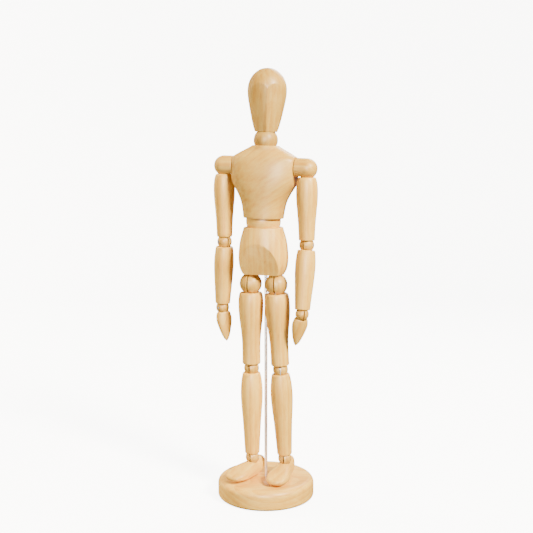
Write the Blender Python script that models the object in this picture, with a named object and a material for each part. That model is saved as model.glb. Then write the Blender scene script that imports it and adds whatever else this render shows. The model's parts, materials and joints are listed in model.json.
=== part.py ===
"""Wooden artist mannequin on a stand: turned and carved wood pieces, knuckle balls with steel tongues and pins,
and three tension springs. Sizes are in millimetres here and in metres in the scene; the figure faces -Y."""

import math

import bmesh
import bpy
from mathutils import Matrix, Vector

MM = 0.001
GAP = 0.3
PIN_PLAY = 0.08
SLOT_PLAY = 0.22

ROUND = 16
FINE = 10
CARVED = 24
ARC_STEPS = 3
COIL_STEPS = 8
SEAT_STEPS = 10

WOOD = (0.80, 0.62, 0.40, 1.0)
STEEL = (0.62, 0.61, 0.59, 1.0)
WOOD_ROUGHNESS = 0.55
STEEL_ROUGHNESS = 0.25

# Stand
BASE_RADIUS = 34.1
BASE_HEIGHT = 14.0
BASE_EDGE = 4.4
BASE_FOOT_EDGE = 2.4
BASE_EDGE_STEPS = 4
ROD_RADIUS = 1.05
ROD_HOLE = 1.2
ROD_BOTTOM = 4.0
ROD_TOP = 181.0

# Torso, in its own frame: the axis is the middle of the waist
TORSO_YAW = -20.0
TORSO_AXIS = (-1.7, -4.7)
CHEST_TILT = 1.8
PELVIS_RINGS = (
    (159.9, 13.9, 11.6), (160.7, 14.7, 12.2), (164.4, 16.4, 13.4), (168.7, 17.2, 14.1), (172.9, 17.3, 14.3),
    (177.0, 17.0, 14.2), (181.2, 16.5, 13.9), (185.4, 15.6, 13.4), (189.6, 14.3, 12.7), (192.0, 13.6, 12.3),
    (192.5, 13.2, 12.0),
)
PELVIS_SQUARE = 2.2
PELVIS_CUT_LOW = (-6.6, 159.9)
PELVIS_CUT_HIGH = (-13.9, 181.7)
CHEST_RINGS = (
    (199.0, 13.4, 12.6), (199.6, 13.7, 12.9), (205.0, 14.5, 13.0), (210.5, 15.9, 13.3), (216.0, 18.6, 13.7),
    (220.0, 21.2, 13.9), (224.0, 23.4, 13.9), (229.0, 24.4, 13.7), (235.0, 24.4, 12.9), (239.5, 23.8, 11.6),
    (242.5, 19.5, 10.2), (245.0, 14.8, 8.9), (247.2, 10.5, 8.6), (248.2, 8.9, 8.3),
)
CHEST_SQUARE = 2.3
CHEST_HALF = 22.0
WAIST_CENTRE = 196.8
WAIST_RADIUS = 11.95
WAIST_CUT = 8.0
NECK_CENTRE = 251.8
NECK_RADIUS = 8.25
NECK_CUT = 6.0
HEAD_YAW = 20.0
HEAD_PROFILE = (
    (7.3, 257.4), (7.9, 258.2), (9.3, 262.7), (10.8, 269.1), (12.05, 275.2), (12.9, 279.8), (13.3, 284.2),
    (13.05, 288.0), (12.0, 291.5), (10.2, 294.7), (7.5, 297.4), (4.2, 299.3),
)
HEAD_TOP = 300.0
FACE_TURN = 24.5
FACE_LEAN = 11.7
FACE_DEPTH = 11.8
FACE_HEIGHT = 284.0
SPRING_BORE = 3.1
SPRING_RADIUS = 2.3
WIRE_RADIUS = 0.4
NECK_SPRING = (239.0, 263.0)
WAIST_SPRING = (183.5, 211.0)
SHOULDER_SPRING = 26.6
SPRING_PITCH = 3.6
CUT_WIDTH = 30.0
CUT_DEPTH = 20.0

# Shoulders
SHOULDER_SPREAD = 30.1
SHOULDER_HEIGHT = 233.6
SHOULDER_RADIUS = 7.0
SHOULDER_STEPS = (-5.4, -4.0, -2.6, -1.2, 0.0)
SHOULDER_DOME = (0.4, 0.8, 1.15, 1.4)
ARM_PLAY = 0.45

# A limb is (depth below its upper joint, radius) from its top rim to its bottom rim
UPPER_ARM = (
    (6.3, 6.0), (9.0, 6.8), (14.0, 7.35), (21.0, 7.25), (29.0, 6.6), (38.0, 5.85), (48.2, 5.4),
)
FOREARM = (
    (3.9, 6.0), (6.5, 6.4), (11.5, 6.85), (18.0, 6.9), (26.0, 6.45), (35.0, 5.8), (43.7, 5.2),
)
THIGH = (
    (6.9, 7.9), (9.0, 8.4), (13.0, 8.75), (20.0, 8.6), (27.0, 7.9), (35.0, 6.95), (43.0, 6.4), (56.4, 6.35),
)
SHIN = (
    (3.6, 6.2), (7.0, 6.9), (12.5, 7.55), (19.5, 7.75), (27.5, 7.35), (37.0, 6.55), (48.0, 5.85), (60.9, 5.2),
)
ARM_REACHES = (52.9, 51.4)
FOREARM_REACH = 47.0
THIGH_REACH = 60.1
SHIN_REACH = 64.8

# Knuckle balls: radius, distance from centre to the rim above and below
ELBOW = (5.1, 3.4)
WRIST = (4.6, 2.9)
HIP = (7.75, 6.2)
KNEE = (5.3, 3.1)
ANKLE = (4.75, 2.9)

# Right and left limbs in the photographed pose, in degrees
ARM_RIM = 5.7
ARM_HANG = (-1.8, 1.8)
ELBOW_TURN = (53.0, -13.0)
ELBOW_BEND = (-4.0, 7.0)
WRIST_TURN = (17.0, 50.0)
WRIST_BEND = (12.0, -22.0)
HAND_ROLL = (-38.0, 0.0)
HIP_SPREAD = 9.4
HIP_HEIGHT = 153.1
HIP_TURN = (0.0, 5.0)
HIP_LEAN = (0.3, 2.4)
HIP_BEND = (-0.3, -2.4)
KNEE_TURN = (0.0, 12.0)
ANKLE_TURN = (-2.0, -11.0)
TOE_TURN = (-18.0, -7.0)

HAND_SLICES = (
    (2.9, 3.9, 3.0), (4.0, 4.8, 3.6), (6.5, 5.6, 3.8), (9.0, 5.75, 3.7), (12.5, 5.1, 3.3), (16.0, 4.1, 2.8),
    (19.5, 2.9, 2.1), (22.5, 1.6, 1.3),
)
HAND_TIP = 24.4

# Foot slices run from the heel to the toe: distance from the ankle, half width, sole height, top height
SOLE = 13.9
ROCKER = 78.7
FOOT_SLICES = (
    (-10.6, 2.6, -2.0), (-9.0, 4.2, -0.9), (-6.0, 5.0, -0.8), (-2.5, 5.0, -2.0), (2.5, 5.4, -2.5), (6.5, 6.6, -3.0),
    (11.0, 7.6, -3.7), (15.5, 7.9, -4.9), (19.5, 7.0, -6.4), (22.5, 5.0, -7.9),
)
HEEL_END = (-11.6, -7.2)
TOE_END = (24.4, -9.4)


def material(name, colour, roughness, metallic):
    """A plain Principled material for one piece."""
    made = bpy.data.materials.new(name)
    made.use_nodes = True
    shader = made.node_tree.nodes["Principled BSDF"]
    shader.inputs["Base Color"].default_value = colour
    shader.inputs["Roughness"].default_value = roughness
    shader.inputs["Metallic"].default_value = metallic
    made.diffuse_color = colour
    return made


def add_object(name, mesh, frame, steel=False):
    """Link a mesh as a named node with its origin and axes on the given frame."""
    obj = bpy.data.objects.new(name, mesh)
    bpy.context.scene.collection.objects.link(obj)
    obj.matrix_world = frame
    if steel:
        obj.data.materials.append(material(name, STEEL, STEEL_ROUGHNESS, 1.0))
    else:
        obj.data.materials.append(material(name, WOOD, WOOD_ROUGHNESS, 0.0))
    return obj


def mesh_from(name, points, faces, smooth=True):
    """A closed mesh from points in millimetres, its faces turned outward."""
    mesh = bpy.data.meshes.new(name)
    mesh.from_pydata([(x * MM, y * MM, z * MM) for x, y, z in points], [], faces)
    shape = bmesh.new()
    shape.from_mesh(mesh)
    bmesh.ops.recalc_face_normals(shape, faces=shape.faces[:])
    for face in shape.faces:
        face.smooth = smooth
    shape.to_mesh(mesh)
    shape.free()
    return mesh


def loft(name, rings, start, end):
    """A closed skin over rings of equal length, with a pole point at each end."""
    count = len(rings[0])
    points = [start] + [point for ring in rings for point in ring] + [end]
    last = len(points) - 1
    faces = []
    for step in range(count):
        after = (step + 1) % count
        faces.append((0, 1 + after, 1 + step))
        faces.append((last, last - count + step, last - count + after))
        for level in range(len(rings) - 1):
            low = 1 + level * count
            high = low + count
            faces.append((low + step, low + after, high + after, high + step))
    return mesh_from(name, points, faces)


def circle(radius, height, count):
    turns = [2 * math.pi * step / count for step in range(count)]
    return [(radius * math.cos(turn), radius * math.sin(turn), height) for turn in turns]


def lathe(name, profile, count=ROUND):
    """A solid of revolution about Z; the profile starts and ends on the axis."""
    rings = [circle(radius, height, count) for radius, height in profile[1:-1]]
    return loft(name, rings, (0, 0, profile[0][1]), (0, 0, profile[-1][1]))


def superellipse(half_x, half_y, height, power, count):
    points = []
    for step in range(count):
        turn = 2 * math.pi * step / count
        cosine, sine = math.cos(turn), math.sin(turn)
        x = half_x * math.copysign(abs(cosine) ** (2 / power), cosine)
        y = half_y * math.copysign(abs(sine) ** (2 / power), sine)
        points.append((x, y, height))
    return points


def arc(centre, radius, start, end, side):
    """Profile points on a sphere about the axis, from one distance off the axis to another."""
    points = []
    for step in range(ARC_STEPS + 1):
        off = start + (end - start) * step / ARC_STEPS
        points.append((off, centre + side * math.sqrt(radius * radius - off * off)))
    return points


def cutter(name, mesh, frame):
    """A hidden solid used only to cut."""
    tool = bpy.data.objects.new(name, mesh)
    bpy.context.scene.collection.objects.link(tool)
    tool.matrix_world = frame
    tool.hide_render = True
    tool.display_type = "WIRE"
    return tool


def cut(obj, tool):
    change = obj.modifiers.new(tool.name, "BOOLEAN")
    change.operation = "DIFFERENCE"
    change.solver = "EXACT"
    change.object = tool


def box_mesh(name, low, high):
    points = [(x, y, z) for x in (low[0], high[0]) for y in (low[1], high[1]) for z in (low[2], high[2])]
    faces = [(0, 1, 3, 2), (4, 6, 7, 5), (0, 4, 5, 1), (2, 3, 7, 6), (0, 2, 6, 4), (1, 5, 7, 3)]
    return mesh_from(name, points, faces, smooth=False)


def rod_mesh(name, radius, low, high, count):
    return lathe(name, ((0, low), (radius, low), (radius, high), (0, high)), count)


def spring_mesh(name, low, high):
    """A close coil about Z from low to high, its wire ends closed."""
    turns = round((high - low) / SPRING_PITCH)
    steps = turns * COIL_STEPS
    rings = []
    for step in range(steps + 1):
        turn = 2 * math.pi * step / COIL_STEPS
        height = low + (high - low) * step / steps
        ring = []
        for side in range(3):
            tilt = 2 * math.pi * side / 3
            radius = SPRING_RADIUS + WIRE_RADIUS * math.cos(tilt)
            ring.append((radius * math.cos(turn), radius * math.sin(turn), height + WIRE_RADIUS * math.sin(tilt)))
        rings.append(ring)
    return loft(name, rings, (SPRING_RADIUS, 0, low), (SPRING_RADIUS, 0, high))


def place(x, y, z, yaw=0.0):
    return Matrix.Translation((x * MM, y * MM, z * MM)) @ Matrix.Rotation(math.radians(yaw), 4, "Z")


def turned(frame, degrees, axis):
    return frame @ Matrix.Rotation(math.radians(degrees), 4, axis)


def along(frame, depth):
    """The same axes, moved down the limb."""
    return frame @ Matrix.Translation((0, 0, -depth * MM))


def tongue_sizes(ball_radius):
    """Half width, thickness and tail length of the plate in a ball, and its pin's radius."""
    return 0.42 * ball_radius, 0.05 * ball_radius + 0.2, ball_radius + 5.0, 0.13 * ball_radius + 0.15


def tongue_mesh(name, ball_radius):
    """A steel plate with an eye round the pin and a tail that runs down into the next limb."""
    half, thick, tail, pin = tongue_sizes(ball_radius)
    hole = pin + PIN_PLAY
    outline = [(half * math.cos(math.pi * step / 6), half * math.sin(math.pi * step / 6)) for step in range(7)]
    outline += [(-half, -tail / 2), (-half, -tail), (0, -tail), (half, -tail), (half, -tail / 2)]
    eye = [(hole * math.cos(math.pi * step / 6), hole * math.sin(math.pi * step / 6)) for step in range(12)]
    count = len(outline)
    points = []
    for x in (-thick / 2, thick / 2):
        points += [(x, y, z) for y, z in outline] + [(x, y, z) for y, z in eye]
    faces = []
    for step in range(count):
        after = (step + 1) % count
        near, far = 0, 2 * count
        faces.append((near + step, near + after, near + count + after, near + count + step))
        faces.append((far + step, far + count + step, far + count + after, far + after))
        faces.append((near + step, far + step, far + after, near + after))
        faces.append((near + count + step, near + count + after, far + count + after, far + count + step))
    return mesh_from(name, points, faces, smooth=False)


def add_pin(name, ball_radius, frame):
    pin = tongue_sizes(ball_radius)[3]
    reach = math.sqrt(ball_radius * ball_radius - pin * pin) - 0.1
    across = turned(frame, 90, "Y")
    return add_object(name + "_pin", rod_mesh(name + "_pin", pin, -reach, reach, FINE), across, steel=True)


def add_tongue(name, ball_radius, frame):
    return add_object(name + "_tongue", tongue_mesh(name + "_tongue", ball_radius), frame, steel=True)


def cut_pin_hole(ball, ball_radius):
    hole = tongue_sizes(ball_radius)[3] + PIN_PLAY
    mesh = rod_mesh("hole", hole, -2 * ball_radius, 2 * ball_radius, FINE)
    cut(ball, cutter(ball.name + "_pin_hole", mesh, turned(ball.matrix_world.copy(), 90, "Y")))


def peg_sizes(ball_radius):
    """Radius and length, from the ball's centre, of the peg on top of a ball."""
    return 0.36 * ball_radius, ball_radius + 5.0


def add_knuckle(name, sizes, frame):
    """A slotted ball with a peg up into the limb above, and its cross pin."""
    radius, rim = sizes
    half, thick, _, _ = tongue_sizes(radius)
    peg, peg_top = peg_sizes(radius)
    neck = math.sqrt(radius * radius - peg * peg)
    profile = [(0, -radius)]
    for step in range(1, 9):
        turn = math.pi * step / 9
        off = radius * math.sin(turn)
        if off > peg or turn < math.pi / 2:
            profile.append((off, -radius * math.cos(turn)))
    profile += [(peg, neck), (peg, peg_top), (0, peg_top)]
    ball = add_object(name, lathe(name, profile), frame)
    slot = thick / 2 + SLOT_PLAY
    roof = max(half + GAP, rim - 0.1)
    mesh = box_mesh("slot", (-slot, -2 * radius, -2 * radius), (slot, 2 * radius, roof))
    cut(ball, cutter(name + "_slot", mesh, frame))
    cut_pin_hole(ball, radius)
    add_pin(name.replace("_ball", ""), radius, frame)
    return ball


def cut_tail(piece, ball_radius, frame):
    """The saw cut in a limb's top that holds its steel tongue."""
    half, thick, tail, _ = tongue_sizes(ball_radius)
    side, deep, front = thick / 2 + 0.1, tail + 0.2, half + 0.1
    mesh = box_mesh("tail", (-side, -front, -deep), (side, front, 0))
    cut(piece, cutter(piece.name + "_tail_cut", mesh, frame))


def socket_top(radius, rim, edge):
    """Profile points from a rim's outer corner down its concave seat to the axis."""
    seat = radius + GAP
    inner = math.sqrt(seat * seat - rim * rim)
    return [(edge - 0.6, -rim)] + arc(0, seat, inner, 0, -1)


def limb_profile(shape, upper, lower, reach):
    """Profile of a limb: a bore for the lower ball's peg, its seat, the turned side, and the seat above."""
    low_radius, low_rim = lower
    peg, peg_top = peg_sizes(low_radius)
    bore, end = peg + GAP, peg_top + GAP - reach
    seat = low_radius + GAP
    profile = [(0, end), (bore, end)]
    profile += arc(-reach, seat, bore, math.sqrt(seat * seat - low_rim * low_rim), 1)
    profile += [(shape[-1][1] - 0.4, low_rim - reach)]
    profile += [(radius, -depth) for depth, radius in reversed(shape)]
    return profile + socket_top(upper[0], upper[1], shape[0][1])


def add_limb(name, joint, shape, upper, lower, reach, frame):
    """A turned limb hung by its tongue from the joint above it."""
    limb = add_object(name, lathe(name, limb_profile(shape, upper, lower, reach)), frame)
    cut_tail(limb, upper[0], frame)
    add_tongue(joint, upper[0], frame)


def rounded_edge(radius, reach, height, side):
    """Profile points round a disc's edge, from its side to the flat at that height; side is -1 for the underside."""
    points = []
    for step in range(BASE_EDGE_STEPS + 1):
        turn = math.pi / 2 * step / BASE_EDGE_STEPS
        points.append((radius - reach * (1 - math.cos(turn)), height - side * reach * (1 - math.sin(turn))))
    return points


def add_stand():
    """The round base with its blind hole, and the steel rod that carries the figure."""
    profile = [(0, 0)] + rounded_edge(BASE_RADIUS, BASE_FOOT_EDGE, 0, -1)[::-1]
    profile += rounded_edge(BASE_RADIUS, BASE_EDGE, BASE_HEIGHT, 1)
    profile += [(ROD_HOLE, BASE_HEIGHT), (ROD_HOLE, ROD_BOTTOM - GAP), (0, ROD_BOTTOM - GAP)]
    add_object("base", lathe("base", profile, 2 * CARVED), place(0, 0, 0))
    rod = rod_mesh("support_rod", ROD_RADIUS, ROD_BOTTOM, ROD_TOP, 12)
    add_object("support_rod", rod, place(0, 0, 0), steel=True)


def half_space(name, normal, point):
    """A large box whose face lies on a plane, used to cut a flat."""
    turn = Vector(normal).to_track_quat("Z", "Y").to_matrix().to_4x4()
    frame = Matrix.Translation(Vector(point) * MM) @ turn
    return box_mesh(name, (-CUT_WIDTH, -CUT_WIDTH, 0), (CUT_WIDTH, CUT_WIDTH, CUT_DEPTH)), frame


def torso(height):
    return place(TORSO_AXIS[0], TORSO_AXIS[1], height, TORSO_YAW)


def sphere_mesh(radius):
    """A ball whose flats, not its corners, lie at the radius round its axis."""
    wide = radius / math.cos(math.pi / ROUND)
    turns = [math.pi * step / SEAT_STEPS for step in range(1, SEAT_STEPS)]
    profile = [(wide * math.sin(turn), -radius * math.cos(turn)) for turn in turns]
    return lathe("seat", [(0, -radius)] + profile + [(0, radius)], ROUND)


def cut_seat(piece, radius, frame):
    cut(piece, cutter(piece.name + "_seat", sphere_mesh(radius + GAP), frame))


def cut_bore(piece, low, high, frame, radius=SPRING_BORE):
    mesh = rod_mesh("bore", radius, low, high, FINE)
    cut(piece, cutter(piece.name + "_bore", mesh, frame))


def hip_frame(side):
    """Frame of a hip ball: its peg leans with the leg."""
    sign = (-1, 1)[side]
    centre = torso(HIP_HEIGHT) @ Matrix.Translation((sign * HIP_SPREAD * MM, 0, 0))
    return turned(turned(centre, -HIP_LEAN[side], "Y"), HIP_TURN[side], "Z")


def add_pelvis():
    """Carved hip block with seats for the waist and hip balls, a flat front, and a hole for the rod."""
    frame = torso(0)
    rings = [superellipse(wide, deep, height, PELVIS_SQUARE, CARVED) for height, wide, deep in PELVIS_RINGS]
    pelvis = add_object("pelvis", loft("pelvis", rings, (0, 0, rings[0][0][2]), (0, 0, rings[-1][0][2])), frame)
    (low_y, low_z), (high_y, high_z) = PELVIS_CUT_LOW, PELVIS_CUT_HIGH
    mesh, plane = half_space("front", (0, low_z - high_z, high_y - low_y), (0, low_y, low_z))
    cut(pelvis, cutter("pelvis_front", mesh, frame @ plane))
    cut_seat(pelvis, WAIST_RADIUS, torso(WAIST_CENTRE))
    cut_bore(pelvis, WAIST_SPRING[0] - GAP - WIRE_RADIUS, WAIST_CENTRE, frame)
    cut_bore(pelvis, BASE_HEIGHT, ROD_TOP + GAP, place(0, 0, 0), ROD_HOLE)
    for side in (0, 1):
        cut_seat(pelvis, HIP[0], hip_frame(side))
        peg, top = peg_sizes(HIP[0])
        cut_bore(pelvis, 0, top + GAP, hip_frame(side), peg + GAP)


def ball_with_bore(name, radius, flat, frame):
    """A ball cut flat above and below, with the spring's bore through it."""
    profile = [(SPRING_BORE, -flat)]
    low = math.asin(flat / radius)
    for step in range(7):
        turn = -low + 2 * low * step / 6
        profile.append((radius * math.cos(turn), radius * math.sin(turn)))
    profile.append((SPRING_BORE, flat))
    rings = [circle(off, height, CARVED) for off, height in profile]
    points = [point for ring in rings for point in ring]
    faces = []
    for level in range(len(rings)):
        low_ring, high_ring = level * CARVED, (level + 1) % len(rings) * CARVED
        for step in range(CARVED):
            after = (step + 1) % CARVED
            faces.append((low_ring + step, low_ring + after, high_ring + after, high_ring + step))
    return add_object(name, mesh_from(name, points, faces), frame)


def add_waist():
    ball_with_bore("waist_ball", WAIST_RADIUS, WAIST_CUT, chest_frame(WAIST_CENTRE))
    low, high = WAIST_SPRING
    mesh = spring_mesh("waist_spring", low - WAIST_CENTRE, high - WAIST_CENTRE)
    add_object("waist_spring", mesh, chest_frame(WAIST_CENTRE), steel=True)


def chest_frame(height):
    """The torso's axes at a height in the chest, which leans a little to the figure's left."""
    leaning = turned(torso(WAIST_CENTRE), CHEST_TILT, "Y")
    return leaning @ Matrix.Translation((0, 0, (height - WAIST_CENTRE) * MM))


def neck_frame(yaw=0.0):
    return turned(chest_frame(NECK_CENTRE), yaw, "Z")


def add_chest():
    """Carved rib block: flat sides for the shoulders, a domed top, and bores for the three springs."""
    frame = chest_frame(WAIST_CENTRE)
    rings = []
    for height, wide, deep in CHEST_RINGS:
        ring = superellipse(wide, deep, height - WAIST_CENTRE, CHEST_SQUARE, CARVED)
        rings.append([(max(-CHEST_HALF, min(CHEST_HALF, x)), y, z) for x, y, z in ring])
    chest = add_object("chest", loft("chest", rings, (0, 0, rings[0][0][2]), (0, 0, rings[-1][0][2])), frame)
    cut_seat(chest, WAIST_RADIUS, frame)
    cut_bore(chest, 0, WAIST_SPRING[1] - WAIST_CENTRE + GAP + WIRE_RADIUS, frame)
    cut_seat(chest, NECK_RADIUS, neck_frame())
    cut_bore(chest, NECK_SPRING[0] - NECK_CENTRE - GAP - WIRE_RADIUS, 0, neck_frame())
    across = turned(chest_frame(SHOULDER_HEIGHT), 90, "Y")
    cut_bore(chest, -CUT_WIDTH, CUT_WIDTH, across)
    spring = spring_mesh("shoulder_spring", -SHOULDER_SPRING, SHOULDER_SPRING)
    add_object("shoulder_spring", spring, across, steel=True)


def add_neck_and_head():
    """The neck ball, its spring, and the head with the two flats of its face."""
    ball_with_bore("neck_ball", NECK_RADIUS, NECK_CUT, neck_frame())
    low, high = NECK_SPRING
    mesh = spring_mesh("neck_spring", low - NECK_CENTRE, high - NECK_CENTRE)
    add_object("neck_spring", mesh, neck_frame(), steel=True)
    frame = neck_frame(HEAD_YAW)
    seat = NECK_RADIUS + GAP
    rim = HEAD_PROFILE[0][1] - NECK_CENTRE
    profile = [(0, high + GAP + WIRE_RADIUS - NECK_CENTRE), (SPRING_BORE, high + GAP + WIRE_RADIUS - NECK_CENTRE)]
    profile += arc(0, seat, SPRING_BORE, math.sqrt(seat * seat - rim * rim), 1)
    profile += [(radius, height - NECK_CENTRE) for radius, height in HEAD_PROFILE]
    head = add_object("head", lathe("head", profile + [(0, HEAD_TOP - NECK_CENTRE)], CARVED), frame)
    turn, lean = math.radians(FACE_TURN), math.radians(FACE_LEAN)
    for sign in (-1, 1):
        normal = (sign * math.sin(turn) * math.cos(lean), -math.cos(turn) * math.cos(lean), -math.sin(lean))
        point = (sign * FACE_DEPTH * math.sin(turn), -FACE_DEPTH * math.cos(turn), FACE_HEIGHT - NECK_CENTRE)
        mesh, plane = half_space("face", normal, point)
        cut(head, cutter("face_flat", mesh, frame @ plane))


def shoulder_frame(side):
    """Frame of a shoulder ball: X points away from the body."""
    sign = (-1, 1)[side]
    frame = chest_frame(SHOULDER_HEIGHT) @ Matrix.Translation((sign * SHOULDER_SPREAD * MM, 0, 0))
    return turned(frame, (180, 0)[side], "Z")


def add_shoulder(name, side):
    """A barrel with a round outer end, cut flat below its inner half, and the arm's slot and pin."""
    frame = shoulder_frame(side)
    radius = SHOULDER_RADIUS
    inner = CHEST_HALF + GAP - SHOULDER_SPREAD
    flat = ARM_RIM - ARM_PLAY
    bottom = SHOULDER_SPRING - SHOULDER_SPREAD + GAP + WIRE_RADIUS
    profile = [(bottom, 0), (bottom, SPRING_BORE), (inner, SPRING_BORE), (inner, radius - 0.5)]
    profile += [(inner + 0.5, radius)] + [(off, radius) for off in SHOULDER_STEPS]
    profile += [(radius * math.sin(turn), radius * math.cos(turn)) for turn in SHOULDER_DOME]
    rings = []
    for off, wide in profile[1:]:
        ring = []
        for y, z, _ in circle(wide, 0, ROUND):
            ball_floor = math.sqrt(max(radius * radius - off * off - y * y, 0))
            ring.append((off, y, max(z, -max(flat, ball_floor)) if off < 0 else z))
        rings.append(ring)
    mesh = loft(name, rings, (profile[0][0], 0, 0), (radius, 0, 0))
    ball = add_object(name, mesh, frame)
    half, thick, _, _ = tongue_sizes(radius)
    slot = thick / 2 + SLOT_PLAY
    reach = half + GAP
    box = box_mesh("slot", (-reach, -slot, -2 * radius), (2 * radius, slot, reach))
    cut(ball, cutter(name + "_slot", box, frame))
    hole = turned(frame, 90, "Z")
    pin = tongue_sizes(radius)[3]
    cut(ball, cutter(name + "_pin_hole", rod_mesh("hole", pin + PIN_PLAY, -2 * radius, 2 * radius, FINE), turned(hole, 90, "Y")))
    add_pin(name.replace("_ball", ""), radius, hole)
    return frame


def add_hand(name, frame, roll):
    """A flat leaf-shaped hand."""
    rings = [superellipse(wide, thick, -depth, 2.0, 16) for depth, wide, thick in reversed(HAND_SLICES)]
    mesh = loft(name, rings, (0, 0, -HAND_TIP), (0, 0, -HAND_SLICES[0][0]))
    mesh.transform(Matrix.Rotation(math.radians(roll), 4, "Z"))
    hand = add_object(name, mesh, frame)
    cut_seat(hand, WRIST[0], frame)
    cut_tail(hand, WRIST[0], frame)
    add_tongue(name.replace("hand", "wrist"), WRIST[0], frame)


def sole_height(distance):
    """Height of the underside: round about the ankle at the heel, and about the knee ahead of it."""
    if distance < 0:
        return -math.sqrt(SOLE * SOLE - distance * distance)
    return ROCKER - SOLE - math.sqrt(ROCKER * ROCKER - distance * distance)


def add_foot(name, frame, toe_turn):
    """A shoe-shaped foot with a round heel and a raised seat under the ankle."""
    rings = []
    for along_foot, wide, top in FOOT_SLICES:
        sole = sole_height(along_foot)
        ring = superellipse(wide, (top - sole) / 2, 0, 2.6, 16)
        rings.append([(x, -along_foot, (top + sole) / 2 + z) for x, z, _ in ring])
    mesh = loft(name, rings, (0, -HEEL_END[0], HEEL_END[1]), (0, -TOE_END[0], TOE_END[1]))
    mesh.transform(Matrix.Rotation(math.radians(toe_turn), 4, "Z"))
    foot = add_object(name, mesh, frame)
    cut_seat(foot, ANKLE[0], frame)
    cut_tail(foot, ANKLE[0], frame)
    add_tongue(name.replace("foot", "ankle"), ANKLE[0], frame)


def add_arm(side):
    name = ("right_", "left_")[side]
    outward = add_shoulder(name + "shoulder_ball", side)
    plate = turned(turned(outward, -ARM_HANG[side], "Y"), 90, "Z")
    arm = turned(plate, (90, -90)[side], "Z")
    reach = ARM_REACHES[side]
    profile = limb_profile(UPPER_ARM, (SHOULDER_RADIUS, ARM_RIM), ELBOW, reach)
    limb = add_object(name + "upper_arm", lathe("upper_arm", profile), arm)
    cut_tail(limb, SHOULDER_RADIUS, plate)
    add_tongue(name + "shoulder", SHOULDER_RADIUS, plate)
    elbow = turned(along(arm, reach), ELBOW_TURN[side], "Z")
    add_knuckle(name + "elbow_ball", ELBOW, elbow)
    forearm = turned(elbow, -ELBOW_BEND[side], "X")
    add_limb(name + "forearm", name + "elbow", FOREARM, ELBOW, WRIST, FOREARM_REACH, forearm)
    wrist = turned(along(forearm, FOREARM_REACH), WRIST_TURN[side], "Z")
    add_knuckle(name + "wrist_ball", WRIST, wrist)
    add_hand(name + "hand", turned(wrist, -WRIST_BEND[side], "X"), HAND_ROLL[side])


def add_leg(side):
    name = ("right_", "left_")[side]
    hip = hip_frame(side)
    add_knuckle(name + "hip_ball", HIP, hip)
    thigh = turned(hip, -HIP_BEND[side], "X")
    add_limb(name + "thigh", name + "hip", THIGH, HIP, KNEE, THIGH_REACH, thigh)
    knee = turned(along(thigh, THIGH_REACH), KNEE_TURN[side], "Z")
    add_knuckle(name + "knee_ball", KNEE, knee)
    add_limb(name + "shin", name + "knee", SHIN, KNEE, ANKLE, SHIN_REACH, knee)
    ankle = turned(along(knee, SHIN_REACH), ANKLE_TURN[side], "Z")
    add_knuckle(name + "ankle_ball", ANKLE, ankle)
    add_foot(name + "foot", ankle, TOE_TURN[side])


def main():
    for obj in list(bpy.data.objects):
        bpy.data.objects.remove(obj)
    add_stand()
    add_pelvis()
    add_waist()
    add_chest()
    add_neck_and_head()
    for side in (0, 1):
        add_arm(side)
        add_leg(side)


main()
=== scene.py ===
"""The wooden artist mannequin as it looks: turned and carved wood and polished steel.

Each piece rides on its CAD body. Sizes are in millimetres here and in metres in the scene.
The figure faces -Y.
"""

import json
import math

import bmesh
import bpy
from mathutils import Matrix, Vector

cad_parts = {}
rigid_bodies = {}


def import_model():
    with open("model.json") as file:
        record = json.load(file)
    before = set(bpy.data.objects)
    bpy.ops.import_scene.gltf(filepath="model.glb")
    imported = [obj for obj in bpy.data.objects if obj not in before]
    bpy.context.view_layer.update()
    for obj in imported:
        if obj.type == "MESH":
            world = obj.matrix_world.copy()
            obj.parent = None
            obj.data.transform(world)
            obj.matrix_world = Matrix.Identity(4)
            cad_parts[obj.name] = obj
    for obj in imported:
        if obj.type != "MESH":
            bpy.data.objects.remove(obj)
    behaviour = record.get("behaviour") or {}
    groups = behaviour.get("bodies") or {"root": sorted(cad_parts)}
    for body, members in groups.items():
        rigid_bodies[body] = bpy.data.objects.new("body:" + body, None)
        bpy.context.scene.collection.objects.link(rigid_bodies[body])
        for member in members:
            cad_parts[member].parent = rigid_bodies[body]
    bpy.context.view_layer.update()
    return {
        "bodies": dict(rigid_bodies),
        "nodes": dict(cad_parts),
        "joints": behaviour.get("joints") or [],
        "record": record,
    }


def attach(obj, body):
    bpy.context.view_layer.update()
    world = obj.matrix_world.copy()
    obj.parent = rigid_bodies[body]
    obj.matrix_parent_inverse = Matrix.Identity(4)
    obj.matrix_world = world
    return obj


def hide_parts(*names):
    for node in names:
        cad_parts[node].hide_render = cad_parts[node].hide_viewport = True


MM = 0.001

# Clearances between pieces
GAP = 0.3
PIN_PLAY = 0.08
SLOT_PLAY = 0.22
TAIL_PLAY = 0.1

# How finely the shapes are divided
ROUND = 64
CARVED = 96
FINE = 32
BETWEEN = 5
ARC_STEPS = 12
SEAT_STEPS = 40
KNUCKLE_STEPS = 36
BAND_STEPS = 32
BARREL_STEPS = 16
BARREL_END_STEPS = 20
COIL_STEPS = 28
WIRE_SIDES = 10
FILLET_STEPS = 4
BASE_EDGE_STEPS = 14
SWEEP_STEPS = 24

# Edge rounding, and the angle in degrees above which an edge stays sharp
RIM_ROUNDING = 0.55
SMOOTH_ANGLE = 32.0

# Stand
BASE_RADIUS = 34.1
BASE_HEIGHT = 14.0
BASE_EDGE = 4.4
BASE_FOOT_EDGE = 2.4
HOLE_EDGE = 0.7
ROD_RADIUS = 1.05
ROD_HOLE = 1.2
ROD_BOTTOM = 4.0
ROD_TOP = 181.0

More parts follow.
